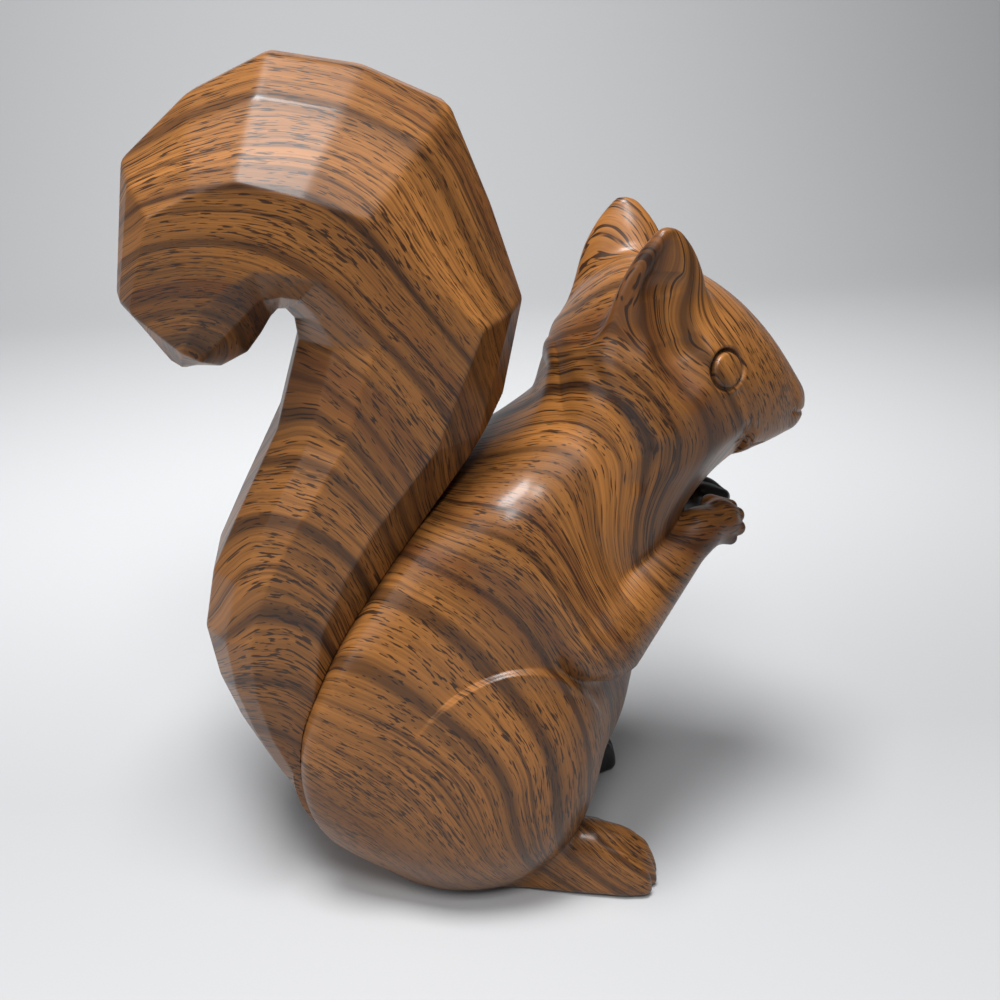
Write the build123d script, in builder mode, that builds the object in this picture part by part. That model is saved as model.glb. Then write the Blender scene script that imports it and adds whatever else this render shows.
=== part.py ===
"""A seated squirrel ornament: hollow resin castings, pinned and glued together under one printed wood-grain skin.

The squirrel faces +X, its left side is +Y, and +Z is up. The origin is on the table, under the middle of its box.
Sizes are millimetres.
"""

import math
import os

from build123d import *

# Felt pads under the castings
PAD_THICKNESS = 1.2
PAD_RADIUS = 5.5
PAD_PLACES = [(-24, 15), (-24, -15), (32, 28), (32, -28)]

# Glue gap round every peg and in every socket
GLUE_GAP = 0.15

# Level sections fill their corners more than ellipses, whose fullness would be 2
OVAL_FULLNESS = 2.4
OVAL_POINTS = 24

# Torso: height, back, front and half width of its level sections
TORSO_SECTIONS = [
    (PAD_THICKNESS, -40, 27, 30),
    (8, -46, 26, 33.5),
    (22, -61, 27.5, 38),
    (42, -71, 38, 39.5),
    (64, -70, 44.5, 40),
    (82, -63, 46.5, 39.5),
    (102, -48, 50, 38),
    (122, -29, 55, 35),
    (140, -2, 59, 30.5),
    (152, 15, 61, 27),
    (164, 23, 63, 25.5),
]

# Hollow inside the torso, and the plate that closes it underneath
PLATE_THICKNESS = 3.0
PLATE_LEDGE = 5.0
CAVITY_SECTIONS = [
    (PAD_THICKNESS + PLATE_THICKNESS, -26, 14, 17),
    (14, -38, 16, 25),
    (35, -50, 24, 31),
    (60, -49, 34, 32),
    (85, -38, 38, 31),
    (103, -24, 41, 30),
    (114, -14, 43, 28),
]

# Haunch: a dome on each side of the torso, through upright ovals that lean forwards
HAUNCH_CENTRE = (-2, 25, 46)
HAUNCH_RADII = (31.4, 21.3, 41.8)
HAUNCH_LEAN = 17.4
HAUNCH_OVALS = [(-0.9, 0.62), (0.0, 1.0), (0.45, 0.93), (0.75, 0.75), (0.92, 0.5), (1.0, 0.25)]

# Tail joint: the curved face where the tail casting sits on the torso, from the nape down to the table
JOINT_POINTS = [(0, 152), (-27, 117), (-50, 83), (-59, 60), (-60, 42), (-55, 22), (-43, 4), (-41, 0)]
JOINT_REACH = 130.0
JOINT_HALF_WIDTH = 60.0

# Neck joint: the sloping plane where the head casting sits on the torso
NECK_MIDDLE = (38, 0, 138.5)
NECK_NORMAL = (0.469, 0, 0.883)
NECK_DOWEL_RADIUS = 6.0
NECK_DOWEL_LENGTH = 44.0

# Head: station along X, underside, top and half width of its upright sections
HEAD_SECTIONS = [
    (20, 148, 170, 13),
    (28, 138, 182, 23),
    (41, 126, 192, 29.5),
    (56, 127.5, 190, 30.5),
    (69, 132.5, 183, 26),
    (82, 137, 170.5, 17),
    (88, 138.8, 162.5, 11.5),
    (92, 140.5, 156.5, 8),
    (95.5, 144, 151.5, 3.5),
]

# Ears: leaning cones with a hollow outer face, pegged into the head
EAR_BASE = (45.2, 18.5, 173)
EAR_TIP = (46, 24, 204.5)
EAR_TURN = 34
EAR_OVALS = [(0.0, 20, 12), (0.35, 16.5, 9), (0.7, 11.5, 6), (1.0, 5, 2.2)]
EAR_HOLLOW_BALLS = [((46.5, 30, 204), 3.2), ((45, 33.5, 190), 7.0), ((48, 41, 176), 10.0)]
EAR_PEG_RADIUS = 2.5
EAR_PEG_LENGTH = 30.0

# Eyes: domed discs in round sockets
EYE_CENTRE = (63.5, 27.0, 167)
EYE_OUTWARD = (0.36, 0.90, 0.25)
EYE_RADIUS = 4.6
EYE_SEAT = 5.0
EYE_DOME = 1.4
EYE_RING_RADIUS = 5.9
EYE_RING_DEPTH = 1.4
EYE_RING_CLEARANCE = 6.0

# Forelegs: shoulder, elbow, wrist and paw, each a ball of its own radius
FORELEG_BALLS = [
    ((3, 22, 123), 15.0),
    ((28, 30.8, 94), 14.4),
    ((60.5, 14, 115.5), 7.2),
    ((68.5, 8.6, 116.5), 8.0),
]
FORELEG_PEG_MIDDLE = (20, 29, 104)
FORELEG_PEG_RADIUS = 3.0
FORELEG_PEG_LENGTH = 20.0

# Hind feet: distance from the heel, underside, top and half width of their upright sections
FOOT_SECTIONS = [
    (0, -17, 20, 8),
    (16, -18, 22, 9),
    (30, -18, 21, 9.4),
    (40, -14, 16.5, 9.2),
    (47.4, -5, 8.5, 6.5),
]
HEEL = (2, 22)
TOE_OUT = 13.5
TOE_GROOVE_RADIUS = 1.4
TOE_GROOVE_MIDDLE = (43, 14)
TOE_GROOVE_WAY = (8, 0, -9)
TOE_GROOVE_LENGTH = 22.0
TOE_GROOVE_OFFSETS = [-4.2, 0.0, 4.2]

# Tail: outer point, ridge, inner point and half width of its sections, from the root to the tip
TAIL_STATIONS = [
    ((-26, 4), (-34, 3), (-46, 1.2), 10),
    ((-33, 18), (-43, 18), (-57, 17.5), 16),
    ((-36, 30), (-47, 30.5), (-63, 31), 20),
    ((-34, 62), (-53.5, 62), (-77.5, 61.5), 25),
    ((-21, 98), (-51, 96), (-84, 94), 28),
    ((-5, 128), (-34, 128), (-71.5, 128), 29),
    ((3, 150), (-16, 151), (-58, 153), 30),
    ((10.5, 185), (-2.8, 183), (-50.5, 180), 31),
    ((2.5, 210), (-18.5, 198), (-51, 185.5), 31),
    ((-7.3, 235), (-29.5, 211.5), (-53, 188), 31),
    ((-28.5, 244.5), (-45, 217), (-55.5, 188.5), 31),
    ((-51.5, 248), (-60, 221.5), (-58, 187.5), 30),
    ((-71.8, 239.5), (-71.5, 218.5), (-61, 184), 29),
    ((-89.5, 224.5), (-82, 213.5), (-64, 178), 27),
    ((-95.5, 191), (-90, 189), (-72, 170.5), 22),
    ((-86, 175.5), (-83.5, 174), (-79, 170), 11),
]
TAIL_INNER_CORNERS = [(0.0, 0.40), (0.20, 0.80), (0.42, 1.0), (1.0, 1.0)]
TAIL_OUTER_CORNERS = [(0.66, 0.62), (1.0, 0.25)]
TAIL_WALL = 7.0
TAIL_CAVITY_STATIONS = [
    ((-45, 101), (-55, 102), (-80, 104), 27),
    ((-18, 134), (-32, 134), (-68, 134), 29),
    ((0, 157), (-16, 157), (-57, 157), 30),
] + TAIL_STATIONS[7:14]
TAIL_DOWEL_RADIUS = 4.0
TAIL_DOWEL_LENGTH = 32.0
TAIL_DOWEL_PLACES = [(-20.5, 126), (-45, 91)]
TAIL_DOWEL_WAY = (0.79, 0, -0.61)

SIDES = {"left": 1, "right": -1}


def on_side(point, sign):
    """A point or direction of the left side, or its mirror image on the right."""
    return Vector(point[0], sign * point[1], point[2])


def full_oval(back, front, half_width):
    """Points round a level oval, mirrored about its length."""
    points = []
    for step in range(OVAL_POINTS):
        turn = 2 * math.pi * (step + 0.5) / OVAL_POINTS
        across = math.copysign(abs(math.cos(turn)) ** (2 / OVAL_FULLNESS), math.cos(turn))
        aside = math.copysign(abs(math.sin(turn)) ** (2 / OVAL_FULLNESS), math.sin(turn))
        points.append(((back + front) / 2 + across * (front - back) / 2, aside * half_width))
    return points


def level_stack(sections):
    """A smooth solid through level ovals, from the bottom up."""
    with BuildPart() as stack:
        for height, back, front, half_width in sections:
            with BuildSketch(Plane.XY.offset(height)):
                with BuildLine():
                    Spline(*full_oval(back, front, half_width), periodic=True)
                make_face()
        loft()
    return stack.part


def upright_stack(sections):
    """A smooth solid through upright ovals, from the back to the front."""
    with BuildPart() as stack:
        for station, underside, top, half_width in sections:
            with BuildSketch(Plane.YZ.offset(station)):
                with Locations((0, (underside + top) / 2)):
                    Ellipse(half_width, (top - underside) / 2)
        loft()
    return stack.part


def haunch(sign):
    """The dome of one thigh, which swells out of the side of the torso."""
    with BuildPart() as dome:
        for reach, size in HAUNCH_OVALS:
            side = sign * (HAUNCH_CENTRE[1] + reach * HAUNCH_RADII[1])
            with BuildSketch(Plane.XZ.offset(-side)):
                with Locations((HAUNCH_CENTRE[0], HAUNCH_CENTRE[2])):
                    Ellipse(HAUNCH_RADII[0] * size, HAUNCH_RADII[2] * size, rotation=-HAUNCH_LEAN)
        loft()
    return dome.part


def pin(middle, way, radius, length):
    """A straight round pin about its middle point."""
    with BuildPart() as rod:
        with BuildSketch(Plane(origin=middle, z_dir=way)):
            Circle(radius)
        extrude(amount=length / 2, both=True)
    return rod.part


def limb(start, end, start_radius, end_radius):
    """A tapering length of leg with a ball at each end."""
    along = end - start
    with BuildPart() as length_of_leg:
        with BuildSketch(Plane(origin=start, z_dir=along)):
            Circle(start_radius)
        with BuildSketch(Plane(origin=end, z_dir=along)):
            Circle(end_radius)
        loft()
        with Locations(start):
            Sphere(start_radius)
        with Locations(end):
            Sphere(end_radius)
    return length_of_leg.part


def tail_stack(stations, wall=0.0):
    """A faceted solid through twelve-cornered sections of the tail, each drawn in by the wall."""
    with BuildPart() as stack:
        for outer, ridge, inner, half_width in stations:
            across = Vector(outer[0] - inner[0], 0, outer[1] - inner[1])
            span = across.length - 2 * wall
            side_end = across.dot(Vector(ridge[0] - inner[0], 0, ridge[1] - inner[1])) / across.length**2
            corners = [(side_end * share, out) for share, out in TAIL_INNER_CORNERS]
            corners += [(side_end + (1 - side_end) * share, out) for share, out in TAIL_OUTER_CORNERS]
            near = [(wall + along * span, out * (half_width - wall)) for along, out in corners]
            far = [(along, -out) for along, out in reversed(near)]
            section = Plane(origin=(inner[0], 0, inner[1]), x_dir=across, z_dir=(-across.Z, 0, across.X))
            with BuildSketch(section):
                with BuildLine():
                    Polyline(*near, *far, close=True)
                make_face()
        loft(ruled=True)
    return stack.part


def block_before_tail():
    """Everything in front of the tail joint, below the nape."""
    top = JOINT_POINTS[0]
    bottom = JOINT_POINTS[-1]
    with BuildPart() as block:
        with BuildSketch(Plane.XZ):
            with BuildLine():
                Spline(*JOINT_POINTS)
                Polyline(bottom, (JOINT_REACH, bottom[1]), (JOINT_REACH, top[1]), top)
            make_face()
        extrude(amount=JOINT_HALF_WIDTH, both=True)
    return block.part


def whole_torso():
    """The torso with its haunches, cut at the neck and at the tail, before it is hollowed."""
    with BuildPart() as torso:
        add(level_stack(TORSO_SECTIONS))
        for sign in SIDES.values():
            add(haunch(sign))
        split(bisect_by=neck_plane, keep=Keep.BOTTOM)
        add(before_tail, mode=Mode.INTERSECT)
    return torso.part


def whole_head():
    """The head and the top of the neck above the neck joint, before its sockets are drilled."""
    with BuildPart() as head:
        add(upright_stack(HEAD_SECTIONS))
        add(level_stack(TORSO_SECTIONS))
        split(bisect_by=neck_plane, keep=Keep.TOP)
    return head.part


def ear_peg(sign, gap=0.0):
    """The peg of one ear, or with a gap its hole in the head."""
    way = on_side(EAR_TIP, sign) - on_side(EAR_BASE, sign)
    return pin(on_side(EAR_BASE, sign), way, EAR_PEG_RADIUS + gap, EAR_PEG_LENGTH + 2 * gap)


def foreleg_peg(sign, gap=0.0):
    """The peg of one foreleg, or with a gap its hole in the torso."""
    middle = on_side(FORELEG_PEG_MIDDLE, sign)
    return pin(middle, (0, 1, 0), FORELEG_PEG_RADIUS + gap, FORELEG_PEG_LENGTH + 2 * gap)


def neck_pin(gap=0.0):
    """The dowel between torso and head, or with a gap its bore in both."""
    return pin(NECK_MIDDLE, NECK_NORMAL, NECK_DOWEL_RADIUS + gap, NECK_DOWEL_LENGTH + 2 * gap)


def tail_pin(place, gap=0.0):
    """One dowel between torso and tail, or with a gap its bore in both."""
    middle = (place[0], 0, place[1])
    return pin(middle, TAIL_DOWEL_WAY, TAIL_DOWEL_RADIUS + gap, TAIL_DOWEL_LENGTH + 2 * gap)


def eye_plug(sign, radius, seat, reach):
    """A round plug on the eye's axis, from its seat out to its reach."""
    outward = on_side(EYE_OUTWARD, sign).normalized()
    middle = on_side(EYE_CENTRE, sign) + outward * ((reach - seat) / 2)
    return pin(middle, outward, radius, seat + reach)


def make_eye(sign):
    """One eye: a disc with a domed face on a plug."""
    outward = on_side(EYE_OUTWARD, sign).normalized()
    dome_radius = (EYE_RADIUS**2 + EYE_DOME**2) / (2 * EYE_DOME)
    with BuildPart() as eye:
        add(eye_plug(sign, EYE_RADIUS, EYE_SEAT, EYE_DOME))
        with Locations(on_side(EYE_CENTRE, sign) + outward * (EYE_DOME - dome_radius)):
            Sphere(dome_radius, mode=Mode.INTERSECT)
    return eye.part


def make_torso_shell():
    """The hollow torso with its bores for dowels and pegs, and the rebate for its plate."""
    with BuildPart() as torso_shell:
        add(torso_outside)
        add(level_stack(CAVITY_SECTIONS), mode=Mode.SUBTRACT)
        add(plate(GLUE_GAP), mode=Mode.SUBTRACT)
        add(neck_pin(GLUE_GAP), mode=Mode.SUBTRACT)
        for place in TAIL_DOWEL_PLACES:
            add(tail_pin(place, GLUE_GAP), mode=Mode.SUBTRACT)
        for sign in SIDES.values():
            add(foreleg_peg(sign, GLUE_GAP), mode=Mode.SUBTRACT)
    return torso_shell.part


def plate(gap=0.0):
    """The plate that closes the torso underneath, or with a gap its rebate."""
    height, back, front, half_width = CAVITY_SECTIONS[0]
    with BuildPart() as oval:
        with BuildSketch(Plane.XY.offset(PAD_THICKNESS)):
            with Locations(((back + front) / 2, 0)):
                Ellipse((front - back) / 2 + PLATE_LEDGE + gap, half_width + PLATE_LEDGE + gap)
        extrude(amount=height - PAD_THICKNESS)
    return oval.part


def make_head():
    """The head with its bores and the ringed sockets of its eyes."""
    with BuildPart() as head:
        add(head_outside)
        add(neck_pin(GLUE_GAP), mode=Mode.SUBTRACT)
        for sign in SIDES.values():
            add(ear_peg(sign, GLUE_GAP), mode=Mode.SUBTRACT)
            socket = eye_plug(sign, EYE_RADIUS + GLUE_GAP, EYE_SEAT + GLUE_GAP, EYE_RING_CLEARANCE)
            ring = eye_plug(sign, EYE_RING_RADIUS, EYE_RING_DEPTH, EYE_RING_CLEARANCE)
            add(socket, mode=Mode.SUBTRACT)
            add(ring, mode=Mode.SUBTRACT)
    return head.part


def make_ear(sign):
    """One ear: a leaning cone, hollow on its outer face, with its peg."""
    base = on_side(EAR_BASE, sign)
    rise = on_side(EAR_TIP, sign) - base
    ahead = on_side((math.cos(math.radians(EAR_TURN)), -math.sin(math.radians(EAR_TURN)), 0), sign)
    hollow = [(on_side(middle, sign), radius) for middle, radius in EAR_HOLLOW_BALLS]
    with BuildPart() as ear:
        for share, half_length, half_thickness in EAR_OVALS:
            with BuildSketch(Plane(origin=base + rise * share, x_dir=ahead, z_dir=rise)):
                Ellipse(half_length, half_thickness)
        loft()
        for (start, start_radius), (end, end_radius) in zip(hollow, hollow[1:]):
            add(limb(start, end, start_radius, end_radius), mode=Mode.SUBTRACT)
        add(head_outside, mode=Mode.SUBTRACT)
        add(ear_peg(sign))
    return ear.part


def make_foreleg(sign):
    """One foreleg: upper arm, forearm and paw, seated on the torso with its peg."""
    with BuildPart() as foreleg:
        for (start, start_radius), (end, end_radius) in zip(FORELEG_BALLS, FORELEG_BALLS[1:]):
            add(limb(on_side(start, sign), on_side(end, sign), start_radius, end_radius))
        add(torso_outside, mode=Mode.SUBTRACT)
        add(head_outside, mode=Mode.SUBTRACT)
        add(foreleg_peg(sign))
    return foreleg.part


def make_hind_foot(sign):
    """One hind foot: flat underneath, grooved between its toes, seated on the torso."""
    with BuildPart() as straight_foot:
        add(upright_stack(FOOT_SECTIONS))
        split(bisect_by=Plane.XY.offset(PAD_THICKNESS), keep=Keep.TOP)
        for offset in TOE_GROOVE_OFFSETS:
            middle = (TOE_GROOVE_MIDDLE[0], offset, TOE_GROOVE_MIDDLE[1])
            add(pin(middle, TOE_GROOVE_WAY, TOE_GROOVE_RADIUS, TOE_GROOVE_LENGTH), mode=Mode.SUBTRACT)
    with BuildPart() as foot:
        add(Pos(HEEL[0], sign * HEEL[1], 0) * Rot(0, 0, sign * TOE_OUT) * straight_foot.part)
        add(torso_outside, mode=Mode.SUBTRACT)
    return foot.part


def make_tail_shell():
    """The hollow tail, seated on the joint face, with the bores for its dowels."""
    with BuildPart() as tail:
        add(tail_stack(TAIL_STATIONS))
        add(before_tail, mode=Mode.SUBTRACT)
        add(tail_stack(TAIL_CAVITY_STATIONS, TAIL_WALL), mode=Mode.SUBTRACT)
        for place in TAIL_DOWEL_PLACES:
            add(tail_pin(place, GLUE_GAP), mode=Mode.SUBTRACT)
    return tail.part


def make_tail_dowels():
    """Both dowels of the tail joint."""
    with BuildPart() as dowels:
        for place in TAIL_DOWEL_PLACES:
            add(tail_pin(place))
    return dowels.part


def make_felt_pads():
    """The four pads underneath."""
    with BuildPart() as pads:
        with BuildSketch():
            with Locations(*PAD_PLACES):
                Circle(PAD_RADIUS)
        extrude(amount=PAD_THICKNESS)
    return pads.part


neck_plane = Plane(origin=NECK_MIDDLE, x_dir=(NECK_NORMAL[2], 0, -NECK_NORMAL[0]), z_dir=NECK_NORMAL)
before_tail = block_before_tail()
torso_outside = whole_torso()
head_outside = whole_head()

pieces = {
    "torso_shell": make_torso_shell(),
    "head": make_head(),
    "tail_shell": make_tail_shell(),
    "neck_dowel": neck_pin(),
    "tail_dowels": make_tail_dowels(),
    "base_plate": plate(),
    "felt_pads": make_felt_pads(),
}
for side, sign in SIDES.items():
    pieces[f"{side}_ear"] = make_ear(sign)
    pieces[f"{side}_eye"] = make_eye(sign)
    pieces[f"{side}_foreleg"] = make_foreleg(sign)
    pieces[f"{side}_hind_foot"] = make_hind_foot(sign)

os.makedirs("parts", exist_ok=True)
for name, piece in pieces.items():
    piece.label = name
    export_step(piece, f"parts/{name}.step")
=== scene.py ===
"""Dresses the squirrel ornament: cast resin under a printed wood-grain film, on a pale studio floor.

Sizes are millimetres in the object's frame (x the way it faces, y its left, z up), and metres in meshes.
"""
import math

import bmesh
import bpy
import numpy as np
from mathutils import Matrix, Vector


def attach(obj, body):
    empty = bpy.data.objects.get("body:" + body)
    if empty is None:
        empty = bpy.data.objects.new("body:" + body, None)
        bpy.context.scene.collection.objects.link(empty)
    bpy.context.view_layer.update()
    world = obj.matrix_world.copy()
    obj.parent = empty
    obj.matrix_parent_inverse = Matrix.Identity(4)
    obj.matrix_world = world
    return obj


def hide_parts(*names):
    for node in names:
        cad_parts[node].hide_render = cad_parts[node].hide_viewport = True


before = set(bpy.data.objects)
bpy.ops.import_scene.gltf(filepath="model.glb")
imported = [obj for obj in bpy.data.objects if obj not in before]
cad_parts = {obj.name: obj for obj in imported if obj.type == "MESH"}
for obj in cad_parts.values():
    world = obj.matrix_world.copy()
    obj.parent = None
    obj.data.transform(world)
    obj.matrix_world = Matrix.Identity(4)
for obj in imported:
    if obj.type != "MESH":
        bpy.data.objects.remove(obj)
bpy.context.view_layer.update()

bl_info = {
    "name": "Squirrel ornament",
    "version": (1, 0, 0),
    "blender": (4, 5, 0),
    "location": "3D View > Sidebar > Squirrel",
    "description": "Builds the skins, print and studio of a squirrel ornament around its solids",
    "category": "Object",
}

MM = 0.001

# Torso: height, back, front, half width
TORSO = [
    (1.2, -40, 27, 30), (4, -42.5, 26.5, 31.5), (8, -46, 26, 33.5), (14, -53, 26, 36),
    (22, -61, 27.5, 38), (31, -67, 32, 39), (42, -71, 38, 39.5), (52, -71.5, 42, 40),
    (64, -70, 44.5, 40), (82, -63, 46.5, 39.5), (102, -48, 52.5, 38), (122, -29, 58.5, 35),
    (140, -2, 60.5, 30.5), (152, 15, 61, 27), (164, 23, 63, 25.5),
]
TORSO_TOP = 168
# How squared-off the torso's sections are: 2 is a plain oval
TORSO_OVAL = 2.2
TORSO_BACK_MORE = 0.6
FLOOR_LINE = 1.2
# How wide the fillet is where each form joins the rest of the body
FILLET = {
    "haunch": 7, "seam": 3, "neck": 14, "ear": 5, "cheek": 4, "ear_hollow": 1.4, "shoulder": 6, "paw": 1.2,
    "foot": 3, "floor": 1.5,
}
# The seam between body and tail in the side view: height, x
SEAM = [(0, -41), (4, -43), (22, -55), (42, -60), (60, -59), (83, -50), (117, -27), (152, 0), (175, 18)]
HAUNCH_MIDDLE = (-2, 25, 46)
HAUNCH_RADII = (32, 21.5, 41)
HAUNCH_LEAN = 0.13
HAUNCH_LIP = 1.8
# Head: x, underside, top, half width
HEAD = [
    (20, 155, 169, 7), (22, 150, 173.5, 13), (25, 143.5, 178, 18.5), (28, 138, 182, 23),
    (41, 126, 192, 29.5), (56, 128, 190, 30.5), (69, 132.5, 183, 26), (76, 135.5, 177, 21.5),
    (82, 137, 170.5, 17), (88, 138.8, 162.5, 11.5), (92, 140.5, 156.5, 8), (95.4, 144, 151.5, 3),
]
# Jaw: a point on its edge, how much the edge rises for each mm forwards up to its turn and falls after it,
# how much it draws in, and the lean of the bevel under it
JAW_POINT = (56, 27.6, 142)
JAW_RISE = 0.6
JAW_FALL = 1.0
JAW_TURN = 16
JAW_IN = 0.15
JAW_LEAN = math.radians(46)
NECK_POINT = (38, 0, 138.5)
NECK_WAY = (0.469, 0, 0.883)
EAR_BASE = (44.5, 15, 160)
EAR_TIP = (46, 24, 204.5)
EAR_TURN = math.radians(14)
# Half width and half thickness of the ear, by the share of its height
EAR_WIDE = [(0, 16), (0.3, 15.5), (0.55, 13.8), (0.75, 10.8), (0.9, 6.8), (1.0, 2.8)]
EAR_THICK = [(0, 9), (0.3, 8), (0.55, 6.4), (0.75, 4.8), (0.9, 3.3), (1.0, 1.6)]
# Bent rods, as balls with a middle and a radius: the ear's hollow, and the cheek
EAR_HOLLOW = [((47, 28.6, 203), 3.8), ((45.5, 31.4, 190), 8.6), ((49, 36.6, 176), 11.5), ((53, 44, 164), 13)]
CHEEK = [((31, 20.5, 168), 4), ((38, 25, 160), 5.8), ((43.5, 26.4, 151.5), 6.4), ((47, 24.5, 143), 5)]
CREST = [
    (45.5, 24.5, 205), (39.5, 25.5, 198.5), (35, 25, 192), (32, 24, 183), (28.5, 22, 177), (22, 18, 168),
]
CREST_RISE = 0.7
CREST_WIDTH = 2.2
SHOULDER = ((3, 22, 123), 15)
ELBOW = ((28, 30.8, 94), 14)
WRIST = ((60.5, 14, 113.8), 6.0)
PAW = ((69, 9, 114.8), 5.9)
FINGERS = [
    ((67.5, 4.5, 118), (73.8, 4, 116.2), 2.4), ((68.5, 8.5, 117.7), (75, 7, 114.8), 2.5),
    ((68.5, 11.5, 115.2), (74.8, 9.5, 111.8), 2.4), ((67, 12.5, 111.7), (72.3, 10.5, 109.2), 2.2),
]
HEEL = (2, 22)
TOE_OUT = math.radians(13.5)
# Hind foot: distance from the heel, underside, top, half width
FOOT = [
    (0, -17, 20, 8), (16, -18, 22, 9), (30, -18, 21, 9.4), (40, -14, 16.5, 9.2), (45, -8, 11, 7.8),
    (47.4, -4, 6, 5),
]
TOE_GROOVES = (-4.6, 0, 4.6)
TOE_GROOVE_DEPTH = 2.6

# Tail rings: outer point, side ridge and inner point (x, z), half width
TAIL = [
    ((-26, 4), (-34, 3), (-46, 1.2), 10), ((-30, 10), (-39, 9.5), (-52.5, 8.5), 13),
    ((-33, 18), (-43, 18), (-57, 17.5), 16), ((-36, 30), (-47, 30.5), (-63, 31), 20),
    ((-35, 46), (-50, 46), (-71, 46), 23), ((-34, 62), (-53.5, 62), (-77.5, 61.5), 25),
    ((-28, 80), (-53.5, 78.5), (-82, 77), 27), ((-21, 98), (-51, 96), (-84, 94), 28),
    ((-13, 114), (-43.5, 113), (-79.8, 112), 28.5), ((-5, 128), (-34, 128), (-71.5, 128), 29),
    ((3, 150), (-16, 151), (-58, 153), 30), ((10.5, 185), (-2.8, 183), (-50, 178), 31),
    ((2.5, 210), (-18.5, 198), (-50.5, 184), 31), ((-7.3, 235), (-29.5, 211.5), (-52.5, 186.5), 31),
    ((-28.5, 244.5), (-45, 217), (-54.5, 186.5), 31), ((-51.5, 248.5), (-60.5, 221.5), (-56.5, 184.5), 30),
    ((-71.8, 239.5), (-71.5, 218.5), (-59.5, 180), 29), ((-89.5, 224.5), (-82, 213.5), (-63.5, 175), 27),
    ((-95.7, 191), (-90, 190), (-71, 171), 22), ((-86, 175.5), (-83.5, 174), (-79, 170.5), 11),
]
TAIL_EDGE = 0.8
SEAM_GAP = 0.15
# Half a ring's corners: the share of the way from the inner point to the ridge, or from there to the outer
# point, and the share of the half width
TAIL_INNER_CORNERS = [(0, 0.40), (0.2, 0.80), (0.42, 1.0), (1.0, 1.0)]
TAIL_OUTER_CORNERS = [(0.66, 0.62), (1.0, 0.25)]

# Eyes: domed discs inside an engraved ring, which is deepest at its upper back
EYE_MIDDLE = (62.8, 28, 167.8)
EYE_OUTWARD = (0.36, 0.90, 0.25)
EYE_RADIUS = 5.0
EYE_DOME = 0.35
EYE_RING_DEPTH = 1.7
EYE_RING_WIDTH = 0.65
EYE_RING_DEEP = (-0.6, 0, 0.8)

# Fine grooves on the left side: places along each, depth, half width
GROOVES = [
    ([(66.3, 27.3, 160.1), (69.9, 25.3, 153.4), (73, 21.3, 146.1)], 0.9, 1.9),
    ([(71, 20.5, 142.2), (80, 11.4, 139.6)], 0.9, 0.6),
    ([(88.5, 10, 148.5), (92, 6, 146.5), (95, 0, 145.5)], 0.8, 0.8),
    ([(27, 24, 168), (33, 27, 161.5), (38.5, 28, 154), (41.5, 28, 147), (38.5, 27, 139)], 1.2, 3.4),
]

# Grain: x and z in the side view, and the angle the stripes run at there, in degrees above level
TAIL_GRAIN = [
    (-68, 235, 18), (-33, 233, -20), (-4, 213, -68), (-15, 221, -60), (-64, 209, -5), (-50, 204, -26),
    (-38, 194, -54), (-18, 194, -53), (-78, 189, 0), (-65, 186, -25), (-42, 167, -32), (-19, 167, -56),
    (-52, 148, -22), (-69, 128, 40), (-58, 132, -16), (-47, 125, -34), (-70, 101, 35), (-58, 102, -30),
    (-68, 70, 10), (-55, 60, -35), (-55, 25, -50),
]
BODY_GRAIN = [
    (-8, 131, 5), (-10, 114, -22), (-22, 117, 0), (1, 105, -42), (11, 91, -53), (-28, 107, -12),
    (-18, 101, -24), (-8, 93, -48), (-40, 87, -5), (-29, 81, -34), (-16, 71, -36), (-4, 59, -58),
    (15, 65, -63), (-32, 46, -48), (44, 174, -61), (55, 155, -63), (73, 174, -65), (80, 158, -71),
    (29, 166, 0), (33, 161, -46), (42, 150, -72), (27, 181, 59), (36, 195, 62), (33, 139, -79),
    (22, 142, -61), (39, 104, -55), (56, 115, -56), (29, 10, -11), (14, 149, 20), (8, 144, 15),
    (-50, 50, -30), (-45, 20, -40), (0, 20, -40),
]

# Dark growth bands of the print, the one along the cheek crease partly painted shade: places along each (x
# and z in the side view), width, depth
TAIL_BANDS = [
    ([(-81, 230), (-67, 235), (-52, 240), (-30, 234), (-11, 219), (-1, 195)], 4.2, 0.65),
    ([(-83, 216), (-64, 221), (-44, 215), (-31, 210), (-20, 194), (-7, 177)], 2.2, 0.9),
    ([(-84, 206), (-69, 209), (-45, 199), (-33, 187), (-22, 172)], 3.2, 0.7),
    ([(-85, 189), (-72, 189), (-63, 183)], 2.2, 0.8),
    ([(-49, 170), (-42, 167), (-34, 160)], 1.8, 0.6),
    ([(-63, 143), (-57, 149), (-49, 148), (-34, 132), (-28, 119)], 2.0, 0.7),
    ([(-69, 128), (-60, 133), (-52, 129), (-46, 125), (-37, 109)], 3.8, 0.95),
    ([(-79, 92), (-66, 106), (-54, 98), (-48, 88)], 2.8, 0.85),
    ([(-80, 78), (-68, 84), (-56, 76), (-48, 66)], 3.0, 0.6),
    ([(-74, 58), (-62, 60), (-52, 50), (-46, 40)], 2.6, 0.5),
]
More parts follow.
